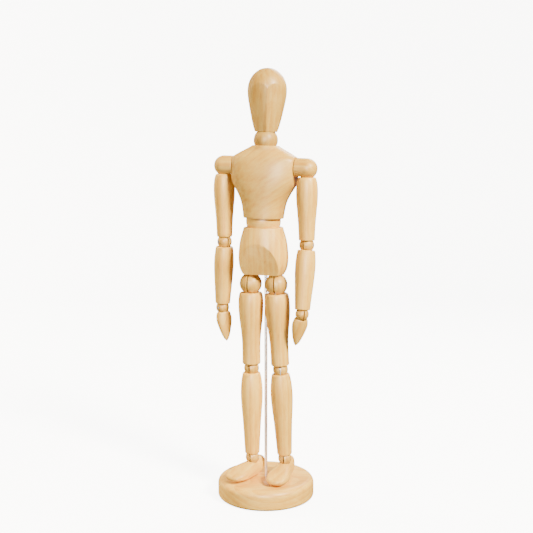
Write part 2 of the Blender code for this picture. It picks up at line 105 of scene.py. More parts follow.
# Torso, in its own frame: the axis is the middle of the waist
TORSO_YAW = -20.0
TORSO_AXIS = (-1.7, -4.7)
CHEST_TILT = 1.8
PELVIS_RINGS = (
    (159.9, 13.9, 11.6), (160.7, 14.7, 12.2), (164.4, 16.4, 13.4), (168.7, 17.2, 14.1), (172.9, 17.3, 14.3),
    (177.0, 17.0, 14.2), (181.2, 16.5, 13.9), (185.4, 15.6, 13.4), (189.6, 14.3, 12.7), (192.0, 13.6, 12.3),
    (192.5, 13.2, 12.0),
)
PELVIS_SQUARE = 2.2
PELVIS_CUT_LOW = (-6.6, 159.9)
PELVIS_CUT_HIGH = (-13.9, 181.7)
CHEST_RINGS = (
    (199.0, 13.4, 12.6), (199.6, 13.7, 12.9), (205.0, 14.5, 13.0), (210.5, 15.9, 13.3), (216.0, 18.6, 13.7),
    (220.0, 21.2, 13.9), (224.0, 23.4, 13.9), (229.0, 24.4, 13.7), (235.0, 24.4, 12.9), (239.5, 23.8, 11.6),
    (242.5, 19.5, 10.2), (245.0, 14.8, 8.9), (247.2, 10.5, 8.6), (248.2, 8.9, 8.3),
)
CHEST_SQUARE = 2.3
CHEST_HALF = 22.0
WAIST_CENTRE = 196.8
WAIST_RADIUS = 11.95
WAIST_CUT = 8.0
NECK_CENTRE = 251.8
NECK_RADIUS = 8.25
NECK_CUT = 6.0
HEAD_YAW = 20.0
HEAD_PROFILE = (
    (7.3, 257.4), (7.9, 258.2), (9.3, 262.7), (10.8, 269.1), (12.05, 275.2), (12.9, 279.8), (13.3, 284.2),
    (13.05, 288.0), (12.0, 291.5), (10.2, 294.7), (7.5, 297.4), (4.2, 299.3),
)
HEAD_TOP = 300.0
FACE_TURN = 24.5
FACE_LEAN = 11.7
FACE_DEPTH = 11.8
FACE_HEIGHT = 284.0
SPRING_BORE = 3.1
SPRING_RADIUS = 2.3
WIRE_RADIUS = 0.4
NECK_SPRING = (239.0, 263.0)
WAIST_SPRING = (183.5, 211.0)
SHOULDER_SPRING = 26.6
SPRING_PITCH = 3.6
CUT_WIDTH = 30.0
CUT_DEPTH = 20.0

# Shoulders; the plug is the wood left over each end of the cross pin
SHOULDER_SPREAD = 30.1
SHOULDER_HEIGHT = 233.6
SHOULDER_RADIUS = 7.0
SHOULDER_PLUG = 1.2
ARM_RIM = 5.7
ARM_PLAY = 0.45

# A limb is (depth below its upper joint, radius) from its top rim to its bottom rim
UPPER_ARM = (
    (6.3, 6.0), (9.0, 6.8), (14.0, 7.35), (21.0, 7.25), (29.0, 6.6), (38.0, 5.85), (48.2, 5.4),
)
FOREARM = (
    (3.9, 6.0), (6.5, 6.4), (11.5, 6.85), (18.0, 6.9), (26.0, 6.45), (35.0, 5.8), (43.7, 5.2),
)
THIGH = (
    (6.9, 7.9), (9.0, 8.4), (13.0, 8.75), (20.0, 8.6), (27.0, 7.9), (35.0, 6.95), (43.0, 6.4), (56.4, 6.35),
)
SHIN = (
    (3.6, 6.2), (7.0, 6.9), (12.5, 7.55), (19.5, 7.75), (27.5, 7.35), (37.0, 6.55), (48.0, 5.85), (60.9, 5.2),
)
ARM_REACHES = (52.9, 51.4)
FOREARM_REACH = 47.0
THIGH_REACH = 60.1
SHIN_REACH = 64.8

# Knuckle balls: radius, distance from centre to the rim above and below
ELBOW = (5.1, 3.4)
WRIST = (4.6, 2.9)
HIP = (7.75, 6.2)
KNEE = (5.3, 3.1)
ANKLE = (4.75, 2.9)

# Where the hips are, on the torso
HIP_SPREAD = 9.4
HIP_HEIGHT = 153.1

# The pose in the photograph, in degrees, for the right and left limbs
ARM_HANG = (-1.8, 1.8)
ELBOW_TURN = (53.0, -13.0)
ELBOW_BEND = (-4.0, 7.0)
WRIST_TURN = (17.0, 50.0)
WRIST_BEND = (12.0, -22.0)
HAND_ROLL = (-38.0, 0.0)
HIP_TURN = (0.0, 5.0)
HIP_LEAN = (0.3, 2.4)
HIP_BEND = (-0.3, -2.4)
KNEE_TURN = (0.0, 12.0)
ANKLE_TURN = (-2.0, -11.0)
TOE_TURN = (-18.0, -7.0)

# Hand slices run from the wrist to the tip: depth below the wrist, half width, half thickness
HAND_SLICES = (
    (2.9, 3.9, 3.0), (4.0, 4.8, 3.6), (6.5, 5.4, 3.6), (9.0, 5.5, 3.5), (12.5, 4.9, 3.1), (16.0, 4.0, 2.7),
    (19.5, 2.9, 2.1), (22.5, 1.6, 1.3),
)
HAND_TIP = 24.4
HAND_SQUARE = 1.9

# The sole is round about the ankle behind it, and curves up ahead of it by the rocker's radius.
# Foot slices run from the heel to the toe: distance ahead of the ankle, half width, top height
SOLE = 13.9
ROCKER = 120.0
FOOT_SLICES = (
    (-10.6, 2.4, -2.0), (-9.0, 3.9, -0.9), (-6.0, 4.7, -0.8), (-2.5, 4.9, -2.0), (2.5, 5.4, -2.5),
    (6.5, 6.6, -3.0), (11.0, 7.6, -3.7), (15.5, 7.9, -4.9), (19.5, 7.0, -6.4), (22.5, 5.0, -7.9),
)
HEEL_END = (-11.6, -7.2)
TOE_END = (24.4, -9.4)
FOOT_SQUARE = 2.6

# Camera
CAMERA_PLACE = (0.4, -640.3, 244.4)
CAMERA_PITCH = 7.1
CAMERA_LENS = 62.6

# Lights are (place, width, power, colour), all aimed at one point on the figure's axis
AIM_HEIGHT = 150.0
KEY = ((1000.0, -1150.0, 1250.0), 460.0, 146.0, (1.0, 0.94, 0.76))
FILL = ((-1250.0, 720.0, 600.0), 900.0, 60.0, (1.0, 0.90, 0.70))
BACK = ((250.0, 520.0, 620.0), 400.0, 5.0, (1.0, 0.98, 0.94))
CARD = ((-150.0, -1500.0, 500.0), 700.0, 60.0, (1.0, 0.98, 0.95))
LOW = ((-230.0, -250.0, 30.0), 120.0, 0.9, (1.0, 0.92, 0.78))
SKY_COLOUR = (1.0, 0.99, 0.97, 1.0)
SKY_ABOVE = 0.44
SKY_BELOW = 0.20

# White paper backdrop: where it ends in front, where it starts to rise, and its bend, height and half width
PAPER_FRONT = -1600.0
PAPER_BACK = 900.0
PAPER_BEND = 400.0
PAPER_HEIGHT = 2200.0
PAPER_HALF_WIDTH = 3000.0
PAPER_GLOW = 7.0

# Base colours
LIGHT_WOOD = (0.86, 0.53, 0.105, 1.0)
MID_WOOD = (0.79, 0.41, 0.052, 1.0)
DARK_WOOD = (0.64, 0.285, 0.03, 1.0)
STEEL = (0.93, 0.91, 0.88, 1.0)

OWN_AXES = "own axes"
BODY_OF = {}


# Meshes

def mesh_from(name, points, faces):
    """A closed mesh from points in millimetres, its faces turned outward."""
    mesh = bpy.data.meshes.new(name)
    mesh.from_pydata([(x * MM, y * MM, z * MM) for x, y, z in points], [], faces)
    shape = bmesh.new()
    shape.from_mesh(mesh)
    bmesh.ops.recalc_face_normals(shape, faces=shape.faces[:])
    for face in shape.faces:
        face.smooth = True
    shape.to_mesh(mesh)
    shape.free()
    return mesh


def loft(name, rings, start, end):
    """A closed skin over rings of equal length, with a pole point at each end."""
    count = len(rings[0])
    points = [start] + [point for ring in rings for point in ring] + [end]
    last = len(points) - 1
    faces = []
    for step in range(count):
        after = (step + 1) % count
        faces.append((0, 1 + after, 1 + step))
        faces.append((last, last - count + step, last - count + after))
        for level in range(len(rings) - 1):
            low = 1 + level * count
            high = low + count
            faces.append((low + step, low + after, high + after, high + step))
    return mesh_from(name, points, faces)


def circle(radius, height, count):
    """Points of a level circle about Z."""
    turns = [2 * math.pi * step / count for step in range(count)]
    return [(radius * math.cos(turn), radius * math.sin(turn), height) for turn in turns]


def lathe(name, profile, count=ROUND):
    """A solid of revolution about Z; the profile starts and ends on the axis."""
    rings = [circle(radius, height, count) for radius, height in profile[1:-1]]
    return loft(name, rings, (0, 0, profile[0][1]), (0, 0, profile[-1][1]))


def superellipse(half_x, half_y, height, power, count):
    """Points of a level oval about Z, squarer with a higher power."""
    points = []
    for step in range(count):
        turn = 2 * math.pi * step / count
        cosine, sine = math.cos(turn), math.sin(turn)
        x = half_x * math.copysign(abs(cosine) ** (2 / power), cosine)
        y = half_y * math.copysign(abs(sine) ** (2 / power), sine)
        points.append((x, y, height))
    return points


def catmull_rom(values, t):
    """The value a share t of the way from the second of four values to the third, on a smooth curve."""
    a, b, c, d = values
    square = 2 * a - 5 * b + 4 * c - d
    cube = 3 * b - a - 3 * c + d
    return 0.5 * (2 * b + (c - a) * t + square * t * t + cube * t ** 3)


def flowing(rows):
    """Rows of numbers with smooth steps put in between, through every given row."""
    made = []
    for index in range(len(rows) - 1):
        before = rows[max(index - 1, 0)]
        start, end = rows[index], rows[index + 1]
        after = rows[min(index + 2, len(rows) - 1)]
        for step in range(BETWEEN):
            t = step / BETWEEN
            made.append(tuple(catmull_rom(values, t) for values in zip(before, start, end, after)))
    return made + [tuple(rows[-1])]


def filleted(profile, reach):
    """The profile with its sharp corners rounded over."""
    made = [profile[0]]
    for index in range(1, len(profile) - 1):
        corner = Vector(profile[index])
        back = Vector(profile[index - 1]) - corner
        ahead = Vector(profile[index + 1]) - corner
        if back.length < 1e-6 or ahead.length < 1e-6 or back.angle(ahead) > math.radians(150):
            made.append(profile[index])
            continue
        cut_back = corner + back.normalized() * min(reach, back.length * 0.45)
        cut_ahead = corner + ahead.normalized() * min(reach, ahead.length * 0.45)
        for step in range(FILLET_STEPS + 1):
            t = step / FILLET_STEPS
            point = cut_back * (1 - t) ** 2 + corner * 2 * t * (1 - t) + cut_ahead * t * t
            made.append((point.x, point.y))
    return made + [profile[-1]]


def arc(centre, radius, start, end, side):
    """Profile points on a sphere about the axis, from one distance off the axis to another."""
    points = []
    for step in range(ARC_STEPS + 1):
        off = start + (end - start) * step / ARC_STEPS
        points.append((off, centre + side * math.sqrt(radius * radius - off * off)))
    return points


def box_mesh(name, low, high):
    """A box between two opposite corners."""
    points = [(x, y, z) for x in (low[0], high[0]) for y in (low[1], high[1]) for z in (low[2], high[2])]
    faces = [(0, 1, 3, 2), (4, 6, 7, 5), (0, 4, 5, 1), (2, 3, 7, 6), (0, 2, 6, 4), (1, 5, 7, 3)]
    return mesh_from(name, points, faces)


def rod_mesh(name, radius, low, high, edge=0.0):
    """A round rod along Z, its ends rounded over by the edge."""
    profile = [(0, low), (radius, low), (radius, high), (0, high)]
    return lathe(name, filleted(profile, edge) if edge else profile, FINE)


def sphere_mesh(radius):
    """A ball used to cut a seat."""
    turns = [math.pi * step / SEAT_STEPS for step in range(SEAT_STEPS + 1)]
    return lathe("seat", [(radius * math.sin(turn), -radius * math.cos(turn)) for turn in turns], ROUND)


def spring_mesh(name, low, high):
    """A close coil about Z from low to high, its wire ends closed."""
    steps = round((high - low) / SPRING_PITCH) * COIL_STEPS
    rings = []
    for step in range(steps + 1):
        turn = 2 * math.pi * step / COIL_STEPS
        height = low + (high - low) * step / steps
        ring = []
        for side in range(WIRE_SIDES):
            tilt = 2 * math.pi * side / WIRE_SIDES
            radius = SPRING_RADIUS + WIRE_RADIUS * math.cos(tilt)
            rise = WIRE_RADIUS * math.sin(tilt)
            ring.append((radius * math.cos(turn), radius * math.sin(turn), height + rise))
        rings.append(ring)
    return loft(name, rings, (SPRING_RADIUS, 0, low), (SPRING_RADIUS, 0, high))


# Frames

def place(x, y, z, yaw=0.0):
    """A frame at a point, turned about Z."""
    return Matrix.Translation((x * MM, y * MM, z * MM)) @ Matrix.Rotation(math.radians(yaw), 4, "Z")


def turned(frame, degrees, axis):
    """The frame turned about one of its own axes."""
    return frame @ Matrix.Rotation(math.radians(degrees), 4, axis)


def along(frame, depth):
    """The same axes, moved down the limb."""
    return frame @ Matrix.Translation((0, 0, -depth * MM))


def torso(height):
    """The hips' frame at a height above the floor."""
    return place(TORSO_AXIS[0], TORSO_AXIS[1], height, TORSO_YAW)


def chest_frame(height):
    """The chest's frame, leaning to one side about the middle of the waist."""
    leaning = turned(torso(WAIST_CENTRE), CHEST_TILT, "Y")
    return leaning @ Matrix.Translation((0, 0, (height - WAIST_CENTRE) * MM))


def neck_frame(yaw=0.0):
    """The chest's frame at the neck ball's centre, turned about Z."""
    return turned(chest_frame(NECK_CENTRE), yaw, "Z")


def hip_frame(side):
    """The frame of a hip ball; side is 0 for the right and 1 for the left."""
    sign = (-1, 1)[side]
    centre = torso(HIP_HEIGHT) @ Matrix.Translation((sign * HIP_SPREAD * MM, 0, 0))
    return turned(turned(centre, -HIP_LEAN[side], "Y"), HIP_TURN[side], "Z")


def shoulder_frame(side):
    """The frame of a shoulder barrel, its X pointing outward."""
    sign = (-1, 1)[side]
    frame = chest_frame(SHOULDER_HEIGHT) @ Matrix.Translation((sign * SHOULDER_SPREAD * MM, 0, 0))
    return turned(frame, (180, 0)[side], "Z")


# Materials

def new_material(name):
    """A material with its node tree and its Principled shader."""
    made = bpy.data.materials.new(name)
    made.use_nodes = True
    return made, made.node_tree, made.node_tree.nodes["Principled BSDF"]


def node(tree, kind, inputs=None, **settings):
    """A shader node with its settings, and its inputs set or linked."""
    made = tree.nodes.new(kind)
    for key, value in settings.items():
        setattr(made, key, value)
    for key, value in (inputs or {}).items():
        if isinstance(value, bpy.types.NodeSocket):
            tree.links.new(value, made.inputs[key])
        else:
            made.inputs[key].default_value = value
    return made


def ramp(tree, value, stops):
    """A colour looked up from a value."""
    made = node(tree, "ShaderNodeValToRGB", {"Fac": value})
    band = made.color_ramp
    while len(band.elements) < len(stops):
        band.elements.new(0.5)
    for element, (place_at, colour) in zip(band.elements, stops):
        element.position = place_at
        element.color = colour
    return made.outputs["Color"]


def mixed(tree, kind, factor, first, second):
    """Two colours blended."""
    made = node(tree, "ShaderNodeMix", data_type="RGBA", blend_type=kind)
    for key, value in ((0, factor), (6, first), (7, second)):
        if isinstance(value, bpy.types.NodeSocket):
            tree.links.new(value, made.inputs[key])
        else:
            made.inputs[key].default_value = value
    return made.outputs[2]


def sum_of(tree, parts):
    """A weighted sum of values."""
    total = None
    for value, weight in parts:
        scaled = node(tree, "ShaderNodeMath", {0: value, 1: weight}, operation="MULTIPLY").outputs[0]
        if total is None:
            total = scaled
        else:
            total = node(tree, "ShaderNodeMath", {0: total, 1: scaled}, operation="ADD").outputs[0]
    return total


def piece_spot(tree):
    """The point shaded, in the piece's own axes; add_piece sets the mapping to the piece's frame."""
    spot = node(tree, "ShaderNodeTexCoord").outputs["Object"]
    return node(tree, "ShaderNodeMapping", {"Vector": spot}, name=OWN_AXES).outputs[0]


def wood(name, seed, grain=(0.0, 0.0, 0.0), tone=1.0, figure=1.0, rings=1.0, ring_weight=0.14):
    """Light waxed hardwood: fibres and growth rings along the grain, pores, blotches and a fine bump."""
    made, tree, shader = new_material(name)
    spot = piece_spot(tree)
    offset = (0.037 * seed % 0.31, 0.053 * seed % 0.29, 0.071 * seed % 0.23)
    turns = tuple(math.radians(angle) for angle in grain)
    local = node(tree, "ShaderNodeMapping", {"Vector": spot, "Rotation": turns}).outputs[0]
    shifted = node(tree, "ShaderNodeMapping", {"Vector": local, "Location": offset}).outputs[0]
    stretched = node(tree, "ShaderNodeMapping", {"Vector": shifted, "Scale": (1.0, 1.0, 0.055)}).outputs[0]
    centre = (0.034 + 0.006 * math.sin(seed), 0.028 + 0.008 * math.cos(seed * 1.7), 0.0)
    ring_spot = node(tree, "ShaderNodeMapping", {
        "Vector": local, "Location": centre, "Scale": (1.0, 1.0, 0.22)}).outputs[0]
    wave = node(tree, "ShaderNodeTexWave", {
        "Vector": ring_spot, "Scale": 85.0 * rings, "Distortion": 2.6 * figure,
        "Detail": 2.5, "Detail Scale": 0.55, "Detail Roughness": 0.55,
    }, wave_type="RINGS", rings_direction="Z", wave_profile="SAW").outputs["Fac"]
    fibres = node(tree, "ShaderNodeTexNoise", {
        "Vector": stretched, "Scale": 2300.0, "Detail": 3.0, "Roughness": 0.62}).outputs["Fac"]
    streaks = node(tree, "ShaderNodeTexNoise", {
        "Vector": stretched, "Scale": 420.0, "Detail": 4.0, "Roughness": 0.55, "Distortion": 0.25,
    }).outputs["Fac"]
    blotch = node(tree, "ShaderNodeTexNoise", {
        "Vector": shifted, "Scale": 52.0, "Detail": 2.0, "Roughness": 0.5, "Distortion": 0.4,
    }).outputs["Fac"]
    pores = node(tree, "ShaderNodeTexNoise", {
        "Vector": stretched, "Scale": 3600.0, "Detail": 1.0, "Roughness": 0.4}).outputs["Fac"]
    grained = sum_of(tree, ((wave, ring_weight), (streaks, 0.72 - ring_weight), (fibres, 0.28)))
    colour = ramp(tree, grained, (
        (0.26, tuple(channel * tone for channel in DARK_WOOD[:3]) + (1.0,)),
        (0.44, tuple(channel * tone for channel in MID_WOOD[:3]) + (1.0,)),
        (0.62, tuple(channel * tone for channel in LIGHT_WOOD[:3]) + (1.0,))))
    patched = mixed(tree, "MULTIPLY", 0.55, colour,
                    ramp(tree, blotch, ((0.32, (0.86, 0.80, 0.70, 1.0)), (0.62, (1.0, 1.0, 1.0, 1.0)))))
    pored = mixed(tree, "MULTIPLY", 0.35, patched,
                  ramp(tree, pores, ((0.30, (0.62, 0.47, 0.33, 1.0)), (0.40, (1.0, 1.0, 1.0, 1.0)))))
    tree.links.new(pored, shader.inputs["Base Color"])
    rough = node(tree, "ShaderNodeMapRange", {
        "Value": sum_of(tree, ((fibres, 0.5), (blotch, 0.5))), "From Min": 0.3, "From Max": 0.7,
        "To Min": 0.36, "To Max": 0.54}).outputs[0]
    tree.links.new(rough, shader.inputs["Roughness"])
    relief = sum_of(tree, ((fibres, 0.7), (streaks, 0.3)))
    bump = node(tree, "ShaderNodeBump", {"Height": relief, "Strength": 0.16, "Distance": 0.00012}).outputs[0]
    tree.links.new(bump, shader.inputs["Normal"])
    shader.inputs["IOR"].default_value = 1.47
    shader.inputs["Specular IOR Level"].default_value = 0.42
    shader.inputs["Coat Weight"].default_value = 0.12
    shader.inputs["Coat Roughness"].default_value = 0.3
    return made


def steel(name, seed, tone=1.0):
    """Bright drawn steel with faint draw lines and dull spots."""
    made, tree, shader = new_material(name)
    spot = piece_spot(tree)
    moved = node(tree, "ShaderNodeMapping", {
        "Vector": spot, "Location": (0.013 * seed, 0.0, 0.0), "Scale": (1.0, 1.0, 0.03)}).outputs[0]
    lines = node(tree, "ShaderNodeTexNoise", {
        "Vector": moved, "Scale": 1800.0, "Detail": 1.0, "Roughness": 0.5}).outputs["Fac"]
    dull = node(tree, "ShaderNodeTexNoise", {
        "Vector": spot, "Scale": 60.0, "Detail": 2.0, "Roughness": 0.5}).outputs["Fac"]
    bright = tuple(channel * tone for channel in STEEL[:3]) + (1.0,)
    dark = tuple(channel * 0.9 * tone for channel in STEEL[:3]) + (1.0,)
    tree.links.new(ramp(tree, sum_of(tree, ((lines, 0.5), (dull, 0.5))), ((0.34, dark), (0.58, bright))),
                   shader.inputs["Base Color"])
    rough = node(tree, "ShaderNodeMapRange", {
        "Value": dull, "From Min": 0.3, "From Max": 0.7, "To Min": 0.32, "To Max": 0.42}).outputs[0]
    tree.links.new(rough, shader.inputs["Roughness"])
    bump = node(tree, "ShaderNodeBump", {"Height": lines, "Strength": 0.02, "Distance": 0.00001}).outputs[0]
    tree.links.new(bump, shader.inputs["Normal"])
    shader.inputs["Metallic"].default_value = 0.9
    return made


def backdrop_material():
    """Plain matt white paper with a barely visible tooth."""
    made, tree, shader = new_material("backdrop")
    spot = node(tree, "ShaderNodeTexCoord").outputs["Object"]
    tooth = node(tree, "ShaderNodeTexNoise", {"Vector": spot, "Scale": 900.0, "Detail": 2.0}).outputs["Fac"]
    tree.links.new(ramp(tree, tooth, ((0.3, (0.93, 0.93, 0.93, 1.0)), (0.7, (0.95, 0.95, 0.95, 1.0)))),
                   shader.inputs["Base Color"])
    shader.inputs["Emission Color"].default_value = (1.0, 1.0, 1.0, 1.0)
    shader.inputs["Emission Strength"].default_value = PAPER_GLOW
    shader.inputs["Roughness"].default_value = 0.9
    shader.inputs["Specular IOR Level"].default_value = 0.1
    return made


# Pieces

def tool(mesh, frame):
    """A solid used only to cut, removed once its piece is made."""
    made = bpy.data.objects.new("tool", mesh)
    bpy.context.scene.collection.objects.link(made)
    made.matrix_world = frame
    return made


def add_piece(name, mesh, frame, finish, tools=()):
    """One fine piece that stands for the CAD node of this name and moves with its body."""
    obj = bpy.data.objects.new(name + "_piece", mesh)
    bpy.context.scene.collection.objects.link(obj)
    obj.matrix_world = frame
    for cutter in tools:
        change = obj.modifiers.new("cut", "BOOLEAN")
        change.operation = "DIFFERENCE"
        change.solver = "EXACT"
        change.object = cutter
    if tools:
        bpy.context.view_layer.update()
        graph = bpy.context.evaluated_depsgraph_get()
        obj.data = bpy.data.meshes.new_from_object(obj.evaluated_get(graph))
        obj.modifiers.clear()
        for cutter in tools:
            bpy.data.objects.remove(cutter)
    obj.data.polygons.foreach_set("use_smooth", [True] * len(obj.data.polygons))
    obj.data.set_sharp_from_angle(angle=math.radians(SMOOTH_ANGLE))
    obj.data.transform(frame)
    obj.matrix_world = Matrix.Identity(4)
    mapping = finish.node_tree.nodes[OWN_AXES]
    mapping.inputs["Rotation"].default_value = frame.inverted().to_euler()
    mapping.inputs["Location"].default_value = frame.inverted().translation
    obj.data.materials.clear()
    obj.data.materials.append(finish)
    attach(obj, BODY_OF[name])
    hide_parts(name)


def half_space(normal, point, frame):
    """A large box whose face lies on a plane, used to cut a flat."""
    turn = Vector(normal).to_track_quat("Z", "Y").to_matrix().to_4x4()
    plane = Matrix.Translation(Vector(point) * MM) @ turn
    mesh = box_mesh("flat", (-CUT_WIDTH, -CUT_WIDTH, 0), (CUT_WIDTH, CUT_WIDTH, CUT_DEPTH))
    return tool(mesh, frame @ plane)


def tongue_sizes(ball_radius):
    """Half width, thickness and tail length of the plate in a ball, and its pin's radius."""
    return 0.42 * ball_radius, 0.05 * ball_radius + 0.2, ball_radius + 5.0, 0.13 * ball_radius + 0.15


def peg_sizes(ball_radius):
    """Radius and length, from the ball's centre, of the peg on top of a ball."""
    return 0.36 * ball_radius, ball_radius + 5.0


def tongue_mesh(ball_radius):
    """A steel plate with an eye round the pin and a tail that runs down into the next limb."""
    half, thick, tail, pin = tongue_sizes(ball_radius)
    hole = pin + PIN_PLAY
    steps = FINE // 2
    turns = [math.pi * step / steps for step in range(2 * steps)]
    outline = [(half * math.cos(turn), half * math.sin(turn)) for turn in turns[:steps + 1]]
    lower = steps - 1
    outline += [(-half + 2 * half * step / (lower - 1), -tail) for step in range(lower)]
    eye = [(hole * math.cos(turn), hole * math.sin(turn)) for turn in turns]
    count = len(outline)
    points = []
    for x in (-thick / 2, thick / 2):
        points += [(x, y, z) for y, z in outline] + [(x, y, z) for y, z in eye]
    faces = []
    far = 2 * count
    for step in range(count):
        after = (step + 1) % count
        faces.append((step, after, count + after, count + step))
        faces.append((far + step, far + count + step, far + count + after, far + after))
        faces.append((step, far + step, far + after, after))
        faces.append((count + step, count + after, far + count + after, far + count + step))
    return mesh_from("tongue", points, faces)


def add_tongue(joint, ball_radius, frame, seed):
    """The steel plate of a joint, fixed in the limb below it."""
    add_piece(joint + "_tongue", tongue_mesh(ball_radius), frame, steel(joint + "_tongue_steel", seed, 0.8))


def add_pin(joint, ball_radius, frame, seed, plug=0.05):
    """A steel cross pin; plug is how far its ends lie below the ball's skin."""
    pin = tongue_sizes(ball_radius)[3]
    reach = math.sqrt(ball_radius * ball_radius - pin * pin) - plug
    mesh = rod_mesh("pin", pin, -reach, reach, edge=0.12)
    add_piece(joint + "_pin", mesh, turned(frame, 90, "Y"), steel(joint + "_pin_steel", seed))


def pin_hole(ball_radius, frame):
    """The cutter for a cross pin's hole right through a ball."""
    radius = tongue_sizes(ball_radius)[3] + PIN_PLAY
    return tool(rod_mesh("hole", radius, -2 * ball_radius, 2 * ball_radius), turned(frame, 90, "Y"))


def add_knuckle(joint, sizes, frame, seed):
    """A slotted wooden ball with a peg up into the limb above, and its cross pin."""
    radius, rim = sizes
    half, thick, _, _ = tongue_sizes(radius)
    peg, peg_top = peg_sizes(radius)
    neck = math.sqrt(radius * radius - peg * peg)
    limit = math.pi - math.asin(peg / radius)
    turns = [limit * step / KNUCKLE_STEPS for step in range(KNUCKLE_STEPS + 1)]
    profile = [(radius * math.sin(turn), -radius * math.cos(turn)) for turn in turns]
    profile += [(peg, neck + 0.3), (peg, peg_top - 0.4), (peg - 0.4, peg_top), (0, peg_top)]
    slot = thick / 2 + SLOT_PLAY
    roof = max(half + GAP, rim - 0.1)
    opening = tool(box_mesh("slot", (-slot, -2 * radius, -2 * radius), (slot, 2 * radius, roof)), frame)
    finish = wood(joint + "_ball_wood", seed, tone=0.78, rings=1.1)
    add_piece(joint + "_ball", lathe("ball", profile), frame, finish, (opening, pin_hole(radius, frame)))
    add_pin(joint, radius, frame, seed)


def tail_cut(ball_radius, frame):
    """The saw cut in a limb's top that holds its steel tongue."""
    half, thick, tail, _ = tongue_sizes(ball_radius)
    side, deep, front = thick / 2 + TAIL_PLAY, tail + 2 * TAIL_PLAY, half + TAIL_PLAY
    return tool(box_mesh("tail", (-side, -front, -deep), (side, front, 0)), frame)


def limb_profile(shape, upper, lower, reach):
    """Profile of a limb: a bore for the lower ball's peg, its seat, the turned side, and the seat above."""
    (low_radius, low_rim), (radius, rim) = lower, upper
    peg, peg_top = peg_sizes(low_radius)
    bore, end = peg + GAP, peg_top + GAP - reach
    seat = low_radius + GAP
    inside = [(0, end), (bore, end)]
    inside += arc(-reach, seat, bore, math.sqrt(seat * seat - low_rim * low_rim), 1)
    side = flowing([(wide, -depth) for depth, wide in reversed(shape)])
    top_seat = radius + GAP
    inner = math.sqrt(top_seat * top_seat - rim * rim)
    outside = [inside[-1], (side[0][0] - 0.4, low_rim - reach)] + side
    outside += [(side[-1][0] - 0.6, -rim), (inner, -rim)]
    return inside[:-1] + filleted(outside, RIM_ROUNDING) + arc(0, top_seat, inner, 0, -1)[1:]


def add_limb(name, joint, shape, upper, lower, reach, frame, seed, tail_frame=None):
    """A turned limb hung by its tongue from the joint above it."""
    tail_frame = tail_frame or frame
    mesh = lathe(name, limb_profile(shape, upper, lower, reach))
    finish = wood(name + "_wood", seed, tone=1.0 + 0.03 * math.sin(seed * 2.1))
    add_piece(name, mesh, frame, finish, (tail_cut(upper[0], tail_frame),))
    add_tongue(joint, upper[0], tail_frame, seed)


def rounded_edge(radius, reach, height, side):
    """Profile points round a disc's edge, from its side to the flat at that height.

    The side is 1 for the top edge and -1 for the bottom one.
    """
    points = []
    for step in range(BASE_EDGE_STEPS + 1):
        turn = math.pi / 2 * step / BASE_EDGE_STEPS
        points.append((radius - reach * (1 - math.cos(turn)), height - side * reach * (1 - math.sin(turn))))
    return points


def add_stand():
    """The round base with its blind hole, and the steel rod that carries the figure."""
    profile = [(0, 0)] + rounded_edge(BASE_RADIUS, BASE_FOOT_EDGE, 0, -1)[::-1]
    profile += rounded_edge(BASE_RADIUS, BASE_EDGE, BASE_HEIGHT, 1)
    profile += [(ROD_HOLE + HOLE_EDGE, BASE_HEIGHT), (ROD_HOLE, BASE_HEIGHT - HOLE_EDGE)]
    profile += [(ROD_HOLE, ROD_BOTTOM - GAP), (0, ROD_BOTTOM - GAP)]
    finish = wood("base_wood", 5, grain=(0.0, 84.0, 24.0), tone=0.98, rings=1.0, figure=0.9, ring_weight=0.2)
    add_piece("base", lathe("base", profile, 2 * CARVED), place(0, 0, 0), finish)
    rod = rod_mesh("rod", ROD_RADIUS, ROD_BOTTOM, ROD_TOP, edge=0.3)
    add_piece("support_rod", rod, place(0, 0, 0), steel("support_rod_steel", 1))


def add_pelvis():
    """Carved hip block with seats for the waist and hip balls, a flat front, and a hole for the rod."""
    frame = torso(0)
    rings = [
        superellipse(wide, deep, height, PELVIS_SQUARE, CARVED)
        for height, wide, deep in flowing(PELVIS_RINGS)
    ]
    mesh = loft("pelvis", rings, (0, 0, rings[0][0][2]), (0, 0, rings[-1][0][2]))
    (low_y, low_z), (high_y, high_z) = PELVIS_CUT_LOW, PELVIS_CUT_HIGH
    tools = [half_space((0, low_z - high_z, high_y - low_y), (0, low_y, low_z), frame)]
    tools.append(tool(sphere_mesh(WAIST_RADIUS + GAP), torso(WAIST_CENTRE)))
    low = WAIST_SPRING[0] - GAP - WIRE_RADIUS
    tools.append(tool(rod_mesh("bore", SPRING_BORE, low, WAIST_CENTRE), frame))
    tools.append(tool(rod_mesh("bore", ROD_HOLE, BASE_HEIGHT, ROD_TOP + GAP), place(0, 0, 0)))
    for side in (0, 1):
        peg, top = peg_sizes(HIP[0])
        tools.append(tool(sphere_mesh(HIP[0] + GAP), hip_frame(side)))
        tools.append(tool(rod_mesh("bore", peg + GAP, 0, top + GAP), hip_frame(side)))
    add_piece("pelvis", mesh, frame, wood("pelvis_wood", 2, tone=1.0), tools)


def ball_with_bore(name, radius, flat, frame, finish):
    """A ball cut flat above and below, with the spring's bore through it."""
    low = math.asin(flat / radius)
    turns = [-low + 2 * low * step / BAND_STEPS for step in range(BAND_STEPS + 1)]
    profile = [(SPRING_BORE, -flat)] + [(radius * math.cos(turn), radius * math.sin(turn)) for turn in turns]
    profile.append((SPRING_BORE, flat))
    rings = [circle(off, height, CARVED) for off, height in profile]
    points = [point for ring in rings for point in ring]
    faces = []
    for level in range(len(rings)):
        low_ring, high_ring = level * CARVED, (level + 1) % len(rings) * CARVED
        for step in range(CARVED):
            after = (step + 1) % CARVED
            faces.append((low_ring + step, low_ring + after, high_ring + after, high_ring + step))
    add_piece(name, mesh_from(name, points, faces), frame, finish)


